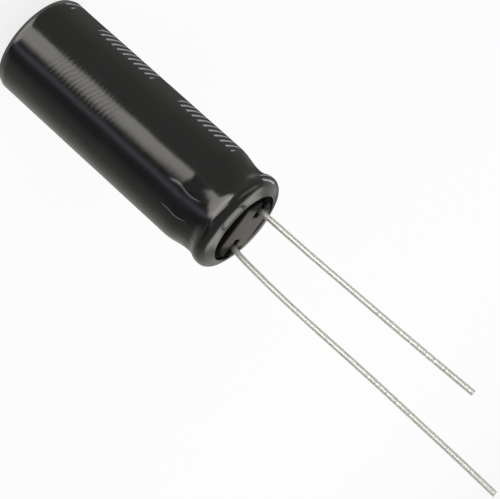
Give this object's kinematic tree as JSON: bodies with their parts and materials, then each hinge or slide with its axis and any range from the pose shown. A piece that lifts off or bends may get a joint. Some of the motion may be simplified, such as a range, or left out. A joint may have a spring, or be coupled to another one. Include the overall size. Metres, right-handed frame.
{
  "type": "radial-lead aluminium electrolytic capacitor",
  "caption": "Cylindrical electrolytic capacitor in a black shrink sleeve, with a beaded can, a rubber seal and a long and a short wire lead for through-hole mounting.",
  "frame": {"origin": "centre of the can's head, on the plane that the capacitor stands on", "axes": "+Z along the can's axis from the head towards the leads; +X from the can's axis towards the long lead"},
  "size_m": [0.013, 0.013, 0.0748],
  "materials": {
    "sleeve_film": "glossy heat-shrunk film",
    "can_aluminium": "drawn, satin",
    "seal_rubber": "moulded, matte",
    "tinned_wire": "tin plated, bright",
    "tab_aluminium": "rolled",
    "foil_and_paper": "wound foil and damp paper",
    "closing_tape": "clear amber film"
  },
  "bodies": {
    "root": {"sleeve": "sleeve_film", "can": "can_aluminium", "seal": "seal_rubber", "anode_wire": "tinned_wire", "cathode_wire": "tinned_wire", "anode_tab": "tab_aluminium", "cathode_tab": "tab_aluminium", "winding": "foil_and_paper", "tape": "closing_tape"}
  },
  "joints": []
}
